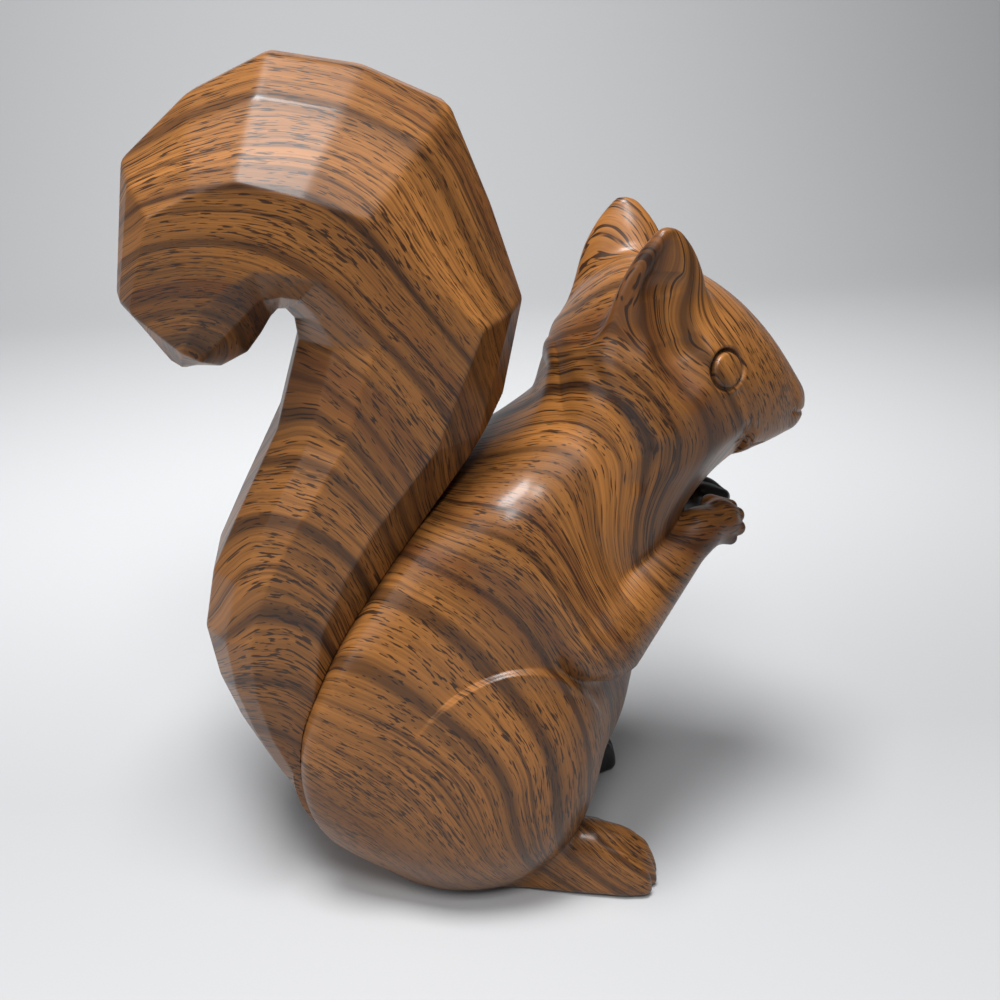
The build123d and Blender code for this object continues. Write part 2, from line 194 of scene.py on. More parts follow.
BODY_BANDS = [
    ([(-23, 119), (-16, 118), (-7, 113), (1, 106), (10, 93)], 1.6, 0.8),
    ([(-30, 110), (-22, 106), (-12, 99), (-5, 89), (-1, 83)], 3.2, 0.75),
    ([(-44, 90), (-37, 89), (-29, 83), (-21, 75), (-11, 68), (-4, 59), (2, 49)], 3.4, 0.85),
    ([(-1, 128), (7, 121), (14, 113), (23, 102)], 2.4, 0.7),
    # Along the cheek crease: a print band, and painted shade in the crease
    ([(23, 163), (30, 166), (34, 160), (40, 153), (42, 146), (38, 138), (37, 119)], 2.8, 0.95),
    ([(17, 146), (22, 143), (27, 135), (27, 122)], 1.8, 0.7),
    ([(-2, 86), (3, 78), (9, 66), (13, 52), (12, 34)], 2.6, 0.75),
    ([(39, 188), (40, 178), (44, 170), (51, 162), (60, 151)], 2.0, 0.75),
    ([(52, 187), (56, 174), (60, 164), (69, 154)], 1.6, 0.65),
    ([(-53, 66), (-40, 57), (-26, 45), (-15, 31)], 2.2, 0.45),
    ([(56, 120), (61, 112)], 1.6, 0.8),
    ([(45, 116), (49, 107)], 1.8, 0.8),
    ([(23, 16), (34, 14), (44, 6)], 1.6, 0.8),
]
GRAIN_REACH = 30.0
GRAIN_LEAN = 0.5
BAND_HOLD = 0.12

# Layers of the print: size across and along the stripes, detail, place in the noise.
# The hairs and flecks are drawn a little coarser than printed dots, so that they show in a render.
PRINT_LAYERS = {
    "tone": (11, 240, 2, 0.3), "cluster": (7, 150, 1, 2.9), "streak": (0.9, 80, 2, 4.7),
    "hair": (0.4, 40, 3, 9.1), "fleck": (0.36, 4.2, 1, 13.7), "crowd": (12, 45, 1, 17.3),
}
# Shares worked out from a layer: layer, where it starts and ends, the share there
PRINT_SHARES = {
    "lines": ("streak", 0.49, 0.68, 0.0, 1.0), "clusters": ("cluster", 0.42, 0.62, 0.12, 0.85),
    "hairs": ("hair", 0.42, 0.74, 0.0, 0.45), "band_strength": ("crowd", 0.2, 0.6, 0.75, 1.0),
    "pore_limit": ("crowd", 0.35, 0.65, 0.035, -0.035),
}
SWELL_SIZE = 30
SWELL_RISE = 3.0
LACQUER_PEEL = 1.6
LACQUER_PEEL_DEPTH = 0.4

CAMERA_PLACE = (-34.0, -310.6, 262.0)
CAMERA_HEADING = (0.1219, 0.9925, 0.0)
CAMERA_PITCH = math.radians(24.08)
CAMERA_ROLL = math.radians(1.196)
CAMERA_LENS = 41.4
MIDDLE = (0, 0, 110)
# Lamps: name, place, what it points at, size, watts
LAMPS = [
    ("key", (-90, -180, 950), MIDDLE, 300, 9.5), ("fill", (-800, -350, 480), MIDDLE, 600, 1.9),
    ("softbox", (-20, -500, 740), MIDDLE, 220, 3.0), ("backdrop", (0, 320, 620), (0, 1150, 240), 800, 5.5),
]
WORLD_STRENGTH = 0.10
FLOOR_HALF_WIDTH = 2200
FLOOR_FRONT = -900
SWEEP_START = 700
SWEEP_RADIUS = 500
BACKDROP_TOP = 1600
# How much of the floor's colour its bounced light keeps
FLOOR_BOUNCE = 0.45


def linear(code):
    """Turns an sRGB hex colour into linear light."""
    parts = [int(code[i:i + 2], 16) / 255 for i in (0, 2, 4)]
    return tuple(c / 12.92 if c <= 0.04045 else ((c + 0.055) / 1.055) ** 2.4 for c in parts)


def unit(v):
    v = np.array(v, float)
    return v / np.linalg.norm(v)


# Shape tools


def along(table, column, at):
    """One column of a section table at any place, on a smooth curve through its rows."""
    keys = np.array([row[0] for row in table], float)
    values = np.array([row[column] for row in table], float)
    slopes = np.gradient(values, keys)
    i = np.clip(np.searchsorted(keys, at) - 1, 0, len(keys) - 2)
    gap = keys[i + 1] - keys[i]
    t = np.clip((at - keys[i]) / gap, 0, 1)
    rise = t * t * (3 - 2 * t)
    lean = gap * (slopes[i] * t * (1 - t) ** 2 - slopes[i + 1] * t * t * (1 - t))
    return values[i] + (values[i + 1] - values[i]) * rise + lean


def blend_union(a, b, k):
    """The nearer of two distances, with the corner between them filled over a width k."""
    h = np.clip(0.5 + 0.5 * (b - a) / k, 0, 1)
    return b + (a - b) * h - k * h * (1 - h)


def blend_cut(a, b, k):
    """The farther of two distances, with the edge between them rounded over a width k."""
    return -blend_union(-a, -b, k)


def oval_distance(u, v, u_radius, v_radius, power):
    """Distance from a squared-off oval, true near its edge."""
    a = np.abs(u) / u_radius
    b = np.abs(v) / v_radius
    q = np.maximum((a ** power + b ** power) ** (1 / power), 1e-6)
    slope = np.hypot((a / q) ** (power - 1) / u_radius, (b / q) ** (power - 1) / v_radius)
    return (q - 1) / np.maximum(slope, 1e-6)


def tapered_rod(p, a, b, a_radius, b_radius):
    """Distance from a rod with ball ends whose radius changes along it."""
    a = np.array(a, float)
    way = np.array(b, float) - a
    from_a = p - a
    t = np.clip(from_a @ way / (way @ way), 0, 1)
    return np.linalg.norm(from_a - t[:, None] * way, axis=1) - (a_radius + (b_radius - a_radius) * t)


def rod_chain(p, balls):
    """Distance from a bent rod through balls, each a middle and a radius."""
    rods = [tapered_rod(p, a, b, ra, rb) for (a, ra), (b, rb) in zip(balls, balls[1:])]
    return np.min(rods, axis=0)


def torso_distance(p):
    x, y, z = p.T
    back, front, half = (along(TORSO, i, z) for i in (1, 2, 3))
    middle, reach = (back + front) / 2, (front - back) / 2
    boxy = TORSO_OVAL + TORSO_BACK_MORE * np.clip((z - 15) / 40, 0, 1)
    power = np.where(x < middle, boxy, TORSO_OVAL)
    skin = oval_distance(x - middle, y, reach, half, power)
    return blend_cut(skin, z - TORSO_TOP, 6)


def seam_distance(p):
    """How far a point is behind the seam surface between body and tail."""
    x, _, z = p.T
    slope = np.gradient(along(SEAM, 1, np.arange(0.0, 260)))
    lean = np.interp(z, np.arange(0.0, 260), slope)
    return (along(SEAM, 1, z) - x) / np.sqrt(1 + lean * lean)


def haunch_place(p):
    """Where a point lies from the haunch's middle, with the haunch's forward lean taken out."""
    q = p - np.array(HAUNCH_MIDDLE)
    q[:, 0] -= HAUNCH_LEAN * q[:, 2]
    return q


def haunch_distance(p):
    q = np.abs(haunch_place(p)) / np.array(HAUNCH_RADII)
    power = 2.3
    size = np.maximum((q ** power).sum(1) ** (1 / power), 1e-6)
    slope = np.linalg.norm((q / size[:, None]) ** (power - 1) / np.array(HAUNCH_RADII), axis=1)
    return (size - 1) / np.maximum(slope, 1e-6)


def head_distance(p):
    x, y, z = p.T
    under, top, half = (along(HEAD, i, x) for i in (1, 2, 3))
    skin = oval_distance(y, z - (under + top) / 2, half, (top - under) / 2, 2.2)
    ahead = x - JAW_POINT[0]
    rise = JAW_RISE * np.minimum(ahead, JAW_TURN) - JAW_FALL * np.maximum(ahead - JAW_TURN, 0)
    beyond, above = y - JAW_POINT[1] + JAW_IN * ahead, z - JAW_POINT[2] - rise
    skin = blend_cut(skin, beyond * math.cos(JAW_LEAN) - above * math.sin(JAW_LEAN), 1.5)
    return blend_cut(blend_cut(skin, x - HEAD[-1][0], 2), HEAD[0][0] - x, 5)


def ear_distance(p):
    """A leaning cone with an oval section."""
    base = np.array(EAR_BASE, float)
    up = np.array(EAR_TIP) - base
    length = np.linalg.norm(up)
    up = up / length
    facing = np.array([math.sin(EAR_TURN), math.cos(EAR_TURN), 0])
    out = unit(facing - up * (up @ facing))
    ahead = np.cross(out, up)
    q = p - base
    rise = q @ up
    share = rise / length
    skin = oval_distance(q @ ahead, q @ out, along(EAR_WIDE, 1, share), along(EAR_THICK, 1, share), 2.0)
    return blend_cut(blend_cut(skin, rise - length, 1.5), -rise, 4)


def foreleg_distance(p):
    upper = tapered_rod(p, SHOULDER[0], ELBOW[0], SHOULDER[1], ELBOW[1])
    lower = tapered_rod(p, ELBOW[0], WRIST[0], ELBOW[1] + 1.2, WRIST[1] + 0.4)
    paw = tapered_rod(p, WRIST[0], PAW[0], WRIST[1], PAW[1])
    fingers = np.min([tapered_rod(p, a, b, r + 0.6, r) for a, b, r in FINGERS], axis=0)
    hand = blend_union(blend_union(lower, paw, 4), fingers, 2)
    return upper, hand


def foot_place(p):
    """Where a point lies along the hind foot from its heel, and beside it."""
    c, s = math.cos(TOE_OUT), math.sin(TOE_OUT)
    x, y = p[:, 0] - HEEL[0], p[:, 1] - HEEL[1]
    return x * c + y * s, y * c - x * s


def foot_distance(p):
    ahead, aside = foot_place(p)
    under, top, half = (along(FOOT, i, ahead) for i in (1, 2, 3))
    skin = oval_distance(aside, p[:, 2] - (under + top) / 2, half, (top - under) / 2, 2.6)
    skin = blend_cut(blend_cut(skin, ahead - FOOT[-1][0], 4), FOOT[0][0] - ahead, 4)
    for groove in TOE_GROOVES:
        skin += TOE_GROOVE_DEPTH * np.exp(-((aside - groove) / 1.2) ** 2) * np.clip((ahead - 28) / 12, 0, 1)
    return skin


def line_distance(p, points):
    """Distance from a bent line through points."""
    return rod_chain(p, [(q, 0) for q in points])


def haunch_lip(p):
    """The raised rim along the top of the haunch: a sharp step that dies away down the thigh."""
    q = haunch_place(p) / np.array(HAUNCH_RADII)
    u, v = q[:, 0], q[:, 2]
    inside = (1 - np.hypot(u, v)) * 36
    turn = np.degrees(np.arctan2(v, u))
    keep = np.clip((turn - 25) / 25, 0, 1) * np.clip((150 - turn) / 25, 0, 1)
    step = 0.5 + 0.5 * np.tanh(inside / 0.4)
    return HAUNCH_LIP * keep * step * np.exp(-np.maximum(inside, 0) / 12)


def crest_ridge(p):
    """The ridge from each ear's back edge down the neck."""
    fade = np.clip((p[:, 2] - 163) / 15, 0, 1)
    return CREST_RISE * np.exp(-(line_distance(p, CREST) / CREST_WIDTH) ** 2) * fade


def body_parts(p):
    """Distances from each form of the body, for points on its left half."""
    torso = torso_distance(p)
    torso = blend_union(torso, haunch_distance(p), FILLET["haunch"])
    torso = blend_cut(torso, seam_distance(p), FILLET["seam"])
    upper, hand = foreleg_distance(p)
    return {
        "torso": torso, "head": head_distance(p), "ear": ear_distance(p), "upper": upper,
        "hand": hand, "foot": foot_distance(p),
    }


def body_distance(p):
    """Distance from the whole body, the same on both sides."""
    p = np.stack([p[:, 0], np.abs(p[:, 1]), p[:, 2]], 1)
    d = body_parts(p)
    skin = blend_union(d["torso"], d["head"], FILLET["neck"])
    skin = blend_union(skin, d["ear"], FILLET["ear"])
    skin = blend_union(skin, rod_chain(p, CHEEK), FILLET["cheek"])
    skin = blend_cut(skin, -rod_chain(p, EAR_HOLLOW), FILLET["ear_hollow"])
    skin = blend_union(skin, d["upper"], FILLET["shoulder"])
    skin = blend_union(skin - haunch_lip(p) - crest_ridge(p), d["hand"], FILLET["paw"])
    skin = blend_union(skin, d["foot"], FILLET["foot"])
    return blend_cut(skin, FLOOR_LINE - p[:, 2], FILLET["floor"])


def field_grid(distance, low, high, step):
    """Distances on a grid, worked out in full only near the surface."""
    counts = np.ceil((np.array(high) - np.array(low)) / step).astype(int) + 1
    block = 4
    blocks = np.ceil(counts / block).astype(int) + 1
    coarse = np.stack(np.meshgrid(*[np.arange(n) for n in blocks], indexing="ij"), -1).reshape(-1, 3)
    rough = distance(low + coarse * step * block).reshape(blocks)
    values = np.repeat(np.repeat(np.repeat(rough, block, 0), block, 1), block, 2)
    values = values[:counts[0], :counts[1], :counts[2]].copy()
    near = np.argwhere(np.abs(values) < step * block * 2 + 4)
    values[tuple(near.T)] = distance(low + near * step)
    return values


def surface_net(values, low, step):
    """One point in each grid cell that the surface crosses, and a quad round each edge that it crosses."""
    inside = values < 0
    size = np.array(values.shape) - 1
    corners = np.zeros(size, np.int8)
    for a in (0, 1):
        for b in (0, 1):
            for c in (0, 1):
                corners += inside[a:a + size[0], b:b + size[1], c:c + size[2]]
    cells = np.argwhere((corners > 0) & (corners < 8))
    number = np.full(size, -1)
    number[tuple(cells.T)] = np.arange(len(cells))
    total = np.zeros((len(cells), 3))
    count = np.zeros(len(cells))
    quads = []
    for axis in range(3):
        way = np.eye(3, dtype=int)[axis]
        others = [np.eye(3, dtype=int)[i] for i in range(3) if i != axis]
        for i in (0, 1):
            for j in (0, 1):
                start = cells + i * others[0] + j * others[1]
                a = values[tuple(start.T)]
                b = values[tuple((start + way).T)]
                cut = (a < 0) != (b < 0)
                t = np.where(cut, a / np.where(cut, a - b, 1), 0)
                total += cut[:, None] * (start + t[:, None] * way)
                count += cut
        here = inside[tuple(slice(None, -1) if i == axis else slice(1, -1) for i in range(3))]
        there = inside[tuple(slice(1, None) if i == axis else slice(1, -1) for i in range(3))]
        edges = np.argwhere(here != there) + (others[0] + others[1])
        leaving = inside[tuple(edges.T)]
        ring = [edges - others[0] - others[1], edges - others[1], edges, edges - others[0]]
        ring = np.stack([number[tuple(q.T)] for q in ring], 1)
        turn = leaving if axis != 1 else ~leaving
        quads.append(np.where(turn[:, None], ring, ring[:, ::-1]))
    points = low + total / count[:, None] * step
    return points, np.concatenate(quads)


def settle(distance, p, rounds=2, reach=0.02):
    """Moves points onto the surface of a distance, down its slope."""
    for _ in range(rounds):
        here = distance(p)
        slope = np.stack([(distance(p + way) - here) / reach for way in np.eye(3) * reach], 1)
        p = p - here[:, None] * slope / np.maximum((slope * slope).sum(1), 0.05)[:, None]
    return p


# Grain


def grain_field(p, normals, controls, bands, lean):
    """Lengths across and along the stripes, then the nearest band's distance in widths, and its depth.

    The lengths are in mm, and are smooth sums of round bumps in the side view. They are solved so that the
    stripes run at the control angles and stay level along each band, on the side that shows.
    """
    angle_spots = np.array([c[:2] for c in controls], float)
    spots = np.vstack([angle_spots] + [np.array(places, float) for places, _, _ in bands])
    side = p[:, 1] < 0
    pick = ((p[side][:, None, ::2] - spots[None]) ** 2).sum(2).argmin(0)
    spot_y = p[side][pick, 1]
    n = normals[side][pick[:len(controls)]]
    angle = np.radians([c[2] for c in controls])
    run = np.stack([np.cos(angle), np.zeros(len(controls)), np.sin(angle)], 1)
    run[:, 1] = np.clip(-(n[:, 0] * run[:, 0] + n[:, 2] * run[:, 2]) / np.minimum(n[:, 1], -0.3), -1.2, 1.2)
    run /= np.linalg.norm(run, axis=1)[:, None]
    across = np.cross(n, run)
    across *= np.sign(across[:, 2] + 0.5 * across[:, 0])[:, None]

    def bumps(q):
        away = q[:, None] - spots[None]
        return away, np.exp(-(away ** 2).sum(2) / (2 * GRAIN_REACH ** 2))

    def sums(q):
        return np.hstack([q, GRAIN_REACH * bumps(q)[1]])

    away, g = bumps(angle_spots)
    one, none = np.ones((len(controls), 1)), np.zeros((len(controls), 1))
    slope_x = np.hstack([one, none, -away[:, :, 0] / GRAIN_REACH * g])
    slope_z = np.hstack([none, one, -away[:, :, 1] / GRAIN_REACH * g])
    at_spots = sums(spots)
    starts = np.cumsum([len(controls)] + [len(places) for places, _, _ in bands])
    level = [
        (at_spots[a + 1:b] - at_spots[a:a + 1], spot_y[a + 1:b] - spot_y[a])
        for a, b in zip(starts, starts[1:])
    ]
    level_rows = BAND_HOLD * np.vstack([rows for rows, _ in level])
    level_aims = -BAND_HOLD * lean * np.concatenate([aims for _, aims in level])
    lengths = []
    for along_rise, across_rise, aside in ((0, 1, lean), (1, 0, 0.3)):
        rows = [
            run[:, :1] * slope_x + run[:, 2:] * slope_z,
            0.7 * (across[:, :1] * slope_x + across[:, 2:] * slope_z),
            0.05 * np.eye(len(spots) + 2)[2:],
        ]
        aims = [
            along_rise - aside * run[:, 1], 0.7 * (across_rise - aside * across[:, 1]), np.zeros(len(spots)),
        ]
        if across_rise:
            rows.append(level_rows)
            aims.append(level_aims)
        weights = np.linalg.lstsq(np.vstack(rows), np.concatenate(aims), rcond=None)[0]
        lengths.append(sums(p[:, ::2]) @ weights + aside * p[:, 1])
        if across_rise:
            levels = at_spots @ weights + aside * spot_y
    middles = [levels[a:b].mean() for a, b in zip(starts, starts[1:])]
    gaps = np.stack([np.abs(lengths[0] - middle) / width for middle, (_, width, _) in zip(middles, bands)], 1)
    depths = np.array([depth for _, _, depth in bands])
    return lengths[0], lengths[1], gaps.min(1), depths[gaps.argmin(1)]


def store_print(mesh, across, along_grain, bare, gap, depth):
    """Keeps the print's lengths on a mesh for its material to read."""
    # The grain's third value is the near-black share: the dark base coat and painted shade
    for name, columns in (("grain", (across, along_grain, bare)), ("band", (gap, depth, bare * 0))):
        attribute = mesh.attributes.new(name, "FLOAT_VECTOR", "POINT")
        attribute.data.foreach_set("vector", np.stack(columns, 1).astype(np.float32).ravel())


# Materials


def add(tree, kind, inputs=None, stops=(), **settings):
    """Adds a node with its settings, its colour stops if it is a ramp, and its links or input values."""
    node = tree.nodes.new(kind)
    for name, value in settings.items():
        setattr(node, name, value)
    for socket, value in (inputs or {}).items():
        if isinstance(value, bpy.types.NodeSocket):
            tree.links.new(value, node.inputs[socket])
        else:
            node.inputs[socket].default_value = value
    for k, (place, colour) in enumerate(stops):
        elements = node.color_ramp.elements
        element = elements[k] if k < len(elements) else elements.new(place)
        element.position = place
        element.color = (*colour, 1)
    return node


def start_material(name):
    """A material with only its surface shader, ready for its pattern."""
    material = bpy.data.materials.new(name)
    material.use_nodes = True
    tree = material.node_tree
    tree.nodes.clear()
    surface = add(tree, "ShaderNodeBsdfPrincipled")
    add(tree, "ShaderNodeOutputMaterial", {"Surface": surface.outputs[0]})
    return material, tree, surface


def film_material(name, colours):
    """Wood-grain film under satin lacquer on cast resin.

    To the eye: warm brown stripes, dark bands and short pores that follow the form, under soft highlights.
    """
    material, tree, surface = start_material(name)
    grain, band = (
        add(tree, "ShaderNodeSeparateXYZ", {
            0: add(tree, "ShaderNodeAttribute", attribute_name=stored).outputs["Vector"]}).outputs
        for stored in ("grain", "band")
    )
    place = add(tree, "ShaderNodeNewGeometry").outputs["Position"]

    # The stripes swell in and out a little on their way
    swell = add(tree, "ShaderNodeTexNoise", {"Vector": place, "Scale": 1 / (SWELL_SIZE * MM), "Detail": 2})
    swell = add(tree, "ShaderNodeMath", {0: swell.outputs["Fac"], 1: 0.5}, operation="SUBTRACT")
    swell = add(tree, "ShaderNodeMath", {0: swell.outputs[0], 1: SWELL_RISE}, operation="MULTIPLY")
    wavy = add(tree, "ShaderNodeMath", {0: grain[0], 1: swell.outputs[0]}, operation="ADD")
    flow = add(tree, "ShaderNodeCombineXYZ", {0: wavy.outputs[0], 1: grain[1], 2: 1.0}).outputs[0]
    layer = {}
    for key, (across_mm, along_mm, detail, seed) in PRINT_LAYERS.items():
        scale = (1 / across_mm, 1 / along_mm, seed)
        scaled = add(tree, "ShaderNodeVectorMath", {0: flow, 1: scale}, operation="MULTIPLY").outputs[0]
        settings = {"Vector": scaled, "Scale": 1, "Detail": detail, "Roughness": 0.55}
        layer[key] = add(tree, "ShaderNodeTexNoise", settings).outputs["Fac"]
    share = {}
    for key, (source, start, end, low, high) in PRINT_SHARES.items():
        step = add(tree, "ShaderNodeMapRange", {0: layer[source], 1: start, 2: end, 3: low, 4: high})
        share[key] = step.outputs[0]

    # Growth lines come in clusters
    lines = add(tree, "ShaderNodeMath", {0: share["lines"], 1: share["clusters"]}, operation="MULTIPLY")
    # Dark bands have ragged edges and fade in places
    ragged = add(tree, "ShaderNodeMath", {0: layer["streak"], 1: 0.5}, operation="SUBTRACT")
    ragged = add(tree, "ShaderNodeMath", {0: band[0], 1: ragged.outputs[0]}, operation="ADD")
    within = add(tree, "ShaderNodeMapRange", {0: ragged.outputs[0], 1: 0.60, 2: 0.12})
    strength = add(tree, "ShaderNodeMath", {0: band[1], 1: share["band_strength"]}, operation="MULTIPLY")
    bands = add(tree, "ShaderNodeMath", {0: within.outputs[0], 1: strength.outputs[0]}, operation="MULTIPLY")
    # Pores are short flecks, in crowds
    crowded = add(tree, "ShaderNodeMath", {0: layer["fleck"], 1: share["pore_limit"]}, operation="SUBTRACT")
    pores = add(tree, "ShaderNodeMapRange", {0: crowded.outputs[0], 1: 0.583, 2: 0.625, 3: 0.0, 4: 0.9})

    stops = [(0.30, "dark"), (0.45, "mid"), (0.60, "light"), (0.74, "mid")]
    stops = [(at, colours[colour]) for at, colour in stops]
    ink = add(tree, "ShaderNodeValToRGB", {0: layer["tone"]}, stops=stops).outputs[0]
    # The last layer is the near-black share: the dark base coat, and painted shade in grooves, the eye ring
    # and between paws and feet
    for amount, colour in (
        (lines.outputs[0], "line"), (share["hairs"], "line"), (bands.outputs[0], "line"),
        (pores.outputs[0], "pore"), (grain[2], "bare"),
    ):
        printed = {0: amount, 6: ink, 7: (*colours[colour], 1)}
        ink = add(tree, "ShaderNodeMix", printed, data_type="RGBA").outputs[2]
    peel = add(tree, "ShaderNodeTexNoise", {"Vector": place, "Scale": 1 / (LACQUER_PEEL * MM), "Detail": 1})
    bump = add(tree, "ShaderNodeBump", {
        "Strength": 0.05, "Distance": LACQUER_PEEL_DEPTH * MM, "Height": peel.outputs["Fac"]})
    tree.links.new(ink, surface.inputs["Base Color"])
    tree.links.new(bump.outputs[0], surface.inputs["Normal"])
    surface.inputs["Roughness"].default_value = 0.45
    surface.inputs["Specular IOR Level"].default_value = 0.32
    surface.inputs["Coat Weight"].default_value = 0.30
    surface.inputs["Coat Roughness"].default_value = 0.22
    return material


def plain_material(name, colour, grit_mm, roughness, change):
    """A bare inner surface with the small unevenness of its grit."""
    material, tree, surface = start_material(name)
    place = add(tree, "ShaderNodeNewGeometry").outputs["Position"]
    grit = add(tree, "ShaderNodeTexNoise", {"Vector": place, "Scale": 1 / (grit_mm * MM), "Detail": 3})
    grit = grit.outputs["Fac"]
    darker = tuple(c * (1 - change) for c in colour)
    tone = add(tree, "ShaderNodeValToRGB", {0: grit}, stops=[(0.35, darker), (0.65, colour)])
    bump = add(tree, "ShaderNodeBump", {"Strength": 0.3, "Distance": grit_mm * MM / 2, "Height": grit})
    tree.links.new(tone.outputs[0], surface.inputs["Base Color"])
    tree.links.new(bump.outputs[0], surface.inputs["Normal"])
    surface.inputs["Roughness"].default_value = roughness
    return material


# Meshes


def make_object(name, points, faces, material, fans=(), normals=None):
    """A smooth object. Fans are faces hidden in a joint, and normals keep the skin smooth across it."""
    faces = [list(map(int, f)) for f in faces]
    mesh = bpy.data.meshes.new(name)
    mesh.from_pydata((points * MM).tolist(), [], faces + list(fans))
    mesh.polygons.foreach_set("use_smooth", [True] * len(faces) + [False] * len(fans))
    mesh.materials.append(material)
    mesh.update()
    if normals is not None:
        at_corners = [tuple(normals[v]) for f in faces for v in f]
        for fan in mesh.polygons[len(faces):]:
            at_corners += [tuple(fan.normal)] * fan.loop_total
        mesh.normals_split_custom_set(at_corners)
    thing = bpy.data.objects.new(name, mesh)
    bpy.context.scene.collection.objects.link(thing)
    return thing


def seat(thing, nodes):
    """Ties a finished piece to the ornament's one body and hides the solids it stands for."""
    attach(thing, "root")
    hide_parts(*nodes)


def fine_places(p):
    """Which places of the body carry small forms and need a finer mesh."""
    q = np.stack([p[:, 0], np.abs(p[:, 1]), p[:, 2]], 1)
    x, y, z = q.T
    from_haunch = haunch_place(q) / np.array(HAUNCH_RADII)
    ahead, _ = foot_place(q)
    lip = (np.abs(np.hypot(from_haunch[:, 0], from_haunch[:, 2]) - 1) < 0.12) & (y > 24) & (z > 60)
    ear = (ear_distance(q) < 2) & (z > 174)
    muzzle = (x > 64) & (z < 152) & (z > 132)
    paw = (x > 58) & (z < 130) & (z > 98)
    toes = (ahead > 28) & (z < 24)
    return lip | ear | muzzle | paw | toes | near_eye(q)


def near_eye(q):
    return np.linalg.norm(q - np.array(EYE_MIDDLE), axis=1) < EYE_RADIUS * 1.7


def refine(points, faces, chosen):
    """Halves the mesh between the chosen points."""
    grid = bmesh.new()
    corners = [grid.verts.new(q) for q in points]
    for face in faces:
        grid.faces.new([corners[i] for i in face])
    grid.verts.index_update()
    edges = [e for e in grid.edges if chosen[e.verts[0].index] and chosen[e.verts[1].index]]
    bmesh.ops.subdivide_edges(grid, edges=edges, cuts=1, use_grid_fill=True)
    grid.verts.index_update()
    points = np.array([v.co for v in grid.verts])
    faces = [[v.index for v in f.verts] for f in grid.faces]
    grid.free()
    return points, faces


def eye_relief(q):
    """The eye's dome and the ring cut round it."""
    out = unit(EYE_OUTWARD)
    away = q - np.array(EYE_MIDDLE)
    aside = away - (away @ out)[:, None] * out
    r = np.linalg.norm(aside, axis=1)
    deep = 0.7 + 0.3 * (aside @ unit(EYE_RING_DEEP)) / np.maximum(r, 0.1)
    dome = EYE_DOME * np.clip(1 - (r / EYE_RADIUS) ** 2, 0, 1)
    ring = EYE_RING_DEPTH * deep * np.exp(-((r - EYE_RADIUS - EYE_RING_WIDTH / 2) / EYE_RING_WIDTH) ** 2)
    return np.where(np.abs(away @ out) < 8, dome - ring, 0)


def groove_relief(q, thin=9.0):
    """The grooves of face, mouth, nose and cheek that are as thin as this, as depths."""
    total = np.zeros(len(q))
    for places, depth, half in GROOVES:
        if half > thin:
            continue
        places = np.array(places, float)
        count = int(np.linalg.norm(np.diff(places, axis=0), axis=1).sum()) + 2
        at = np.linspace(0, len(places) - 1, count)
        line = np.stack([np.interp(at, np.arange(len(places)), places[:, k]) for k in range(3)], 1)
        line = settle(body_distance, line)
        close = np.where(np.linalg.norm(q - line.mean(0), axis=1) < count + 4 * half)[0]
        gap = line_distance(q[close], line)
        total[close] -= depth * np.exp(-(gap / half) ** 2)
    return total


def smooth_normals(points, faces):
    """Outward directions at the points of a mesh."""
    normals = np.zeros_like(points)
    sizes = np.array([len(f) for f in faces])
    for size in np.unique(sizes):
        group = np.array([f for f in faces if len(f) == size])
        corner = points[group]
        turn = np.cross(corner[:, 2] - corner[:, 0], corner[:, -1] - corner[:, 1])
        for k in range(size):
            np.add.at(normals, group[:, k], turn)
    return normals / np.maximum(np.linalg.norm(normals, axis=1), 1e-9)[:, None]


def body_mesh(step):
    """The whole body as one closed mesh, finer where it has small forms."""
    low, high = np.array([-66.0, 0, -3]), np.array([100.0, 52, 212])
    values = field_grid(body_distance, low, high, step)
    values = np.concatenate([values[:, :0:-1], values], 1)
    low = low - np.array([0, step * (values.shape[1] // 2), 0])
    points, faces = surface_net(values, low, step)
    points, faces = refine(points, faces, fine_places(points))
    points, faces = refine(points, faces, near_eye(np.abs(points)))
    points = settle(body_distance, points)
    mirrored = np.stack([points[:, 0], np.abs(points[:, 1]), points[:, 2]], 1)
    normals = smooth_normals(points, faces)
    return points + normals * (eye_relief(mirrored) + groove_relief(mirrored))[:, None], faces


def body_piece(p):
    """The casting that each place of the body's skin belongs to."""
    q = np.stack([p[:, 0], np.abs(p[:, 1]), p[:, 2]], 1)
    d = body_parts(q)
    side = np.where(p[:, 1] > 0, "left_", "right_")
    trunk = np.minimum(d["torso"], d["head"])
    away = q - np.array(EYE_MIDDLE)
    out = unit(EYE_OUTWARD)
    from_axis = np.linalg.norm(away - (away @ out)[:, None] * out, axis=1)
    piece = np.where((q - np.array(NECK_POINT)) @ np.array(NECK_WAY) > 0, "head", "torso").astype("U16")
    for name, inside in (
        ("foreleg", np.minimum(d["upper"], d["hand"]) < trunk), ("hind_foot", d["foot"] < d["torso"]),
        ("ear", (d["ear"] < d["head"]) & (q[:, 2] > 178)), ("eye", (from_axis < EYE_RADIUS) & near_eye(q)),
    ):
        piece[inside] = np.char.add(side, name)[inside]
    return piece


